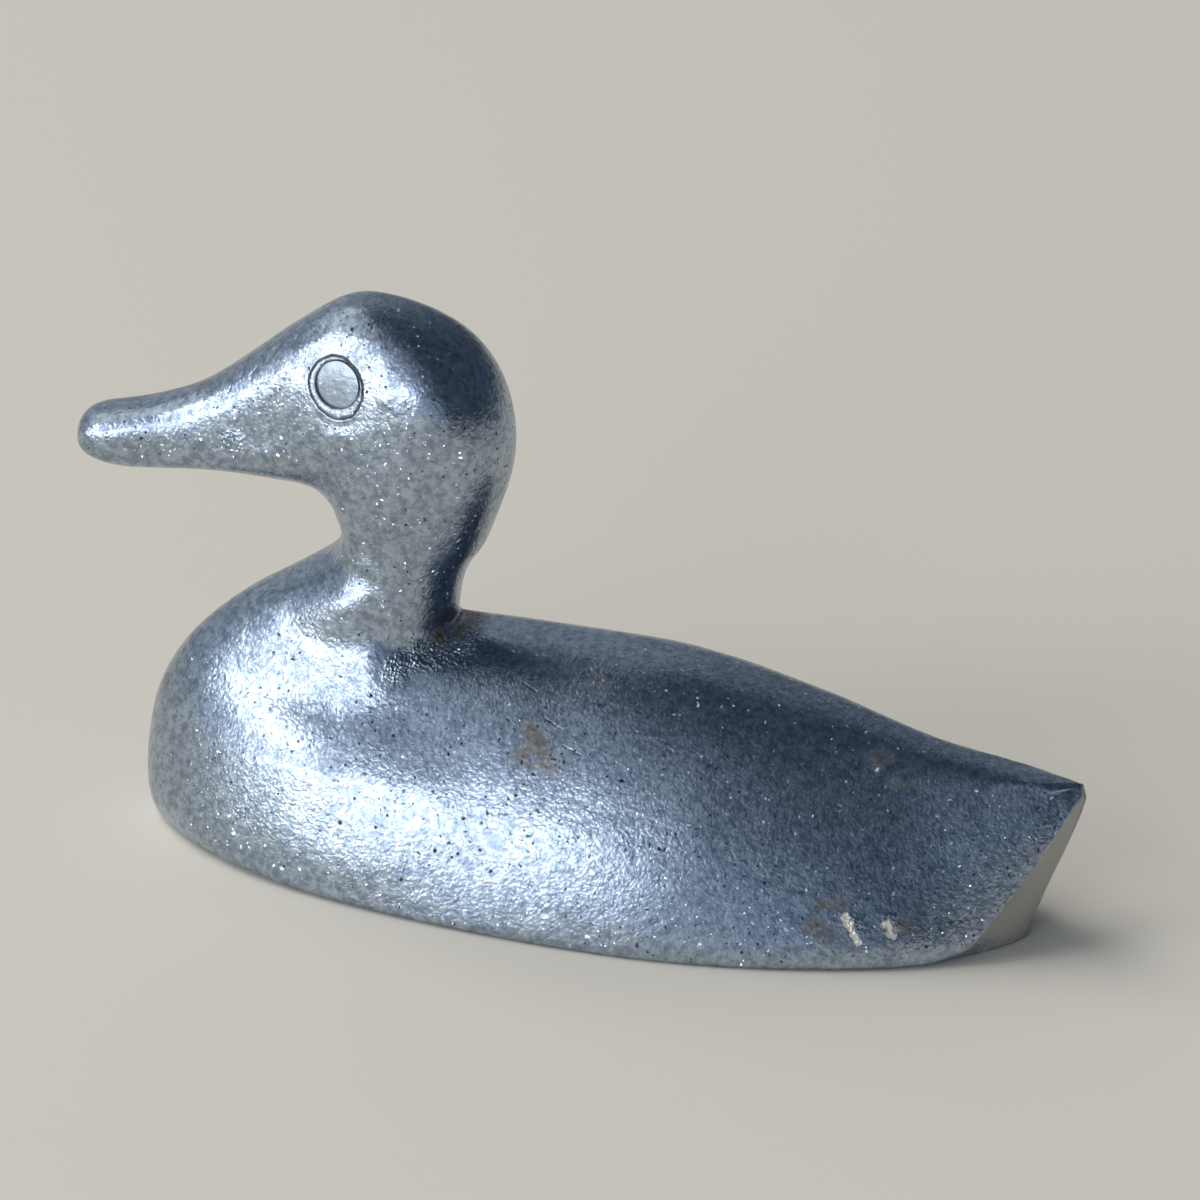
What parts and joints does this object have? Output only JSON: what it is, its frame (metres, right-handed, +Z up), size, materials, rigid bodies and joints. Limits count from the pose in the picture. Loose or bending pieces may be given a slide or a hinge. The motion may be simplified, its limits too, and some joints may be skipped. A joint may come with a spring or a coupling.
{
  "type": "duck figurine",
  "caption": "Solid cast duck ornament with a flat underside, a long bill, a pointed tail and a plain round pin set flush as each eye.",
  "frame": {"origin": "middle of the figure's length and width, on the flat face that it rests on", "axes": "+Z up, the duck faces -X with its tail towards +X, its left side is -Y"},
  "size_m": [0.0646, 0.0236, 0.0362],
  "materials": {
    "cast_aluminium": "sand-cast, filed by hand and dulled with handling",
    "eye_aluminium": "bar end dressed flush with the head"
  },
  "bodies": {
    "root": {"duck_casting": "cast_aluminium", "left_eye_pin": "eye_aluminium", "right_eye_pin": "eye_aluminium"}
  },
  "joints": []
}
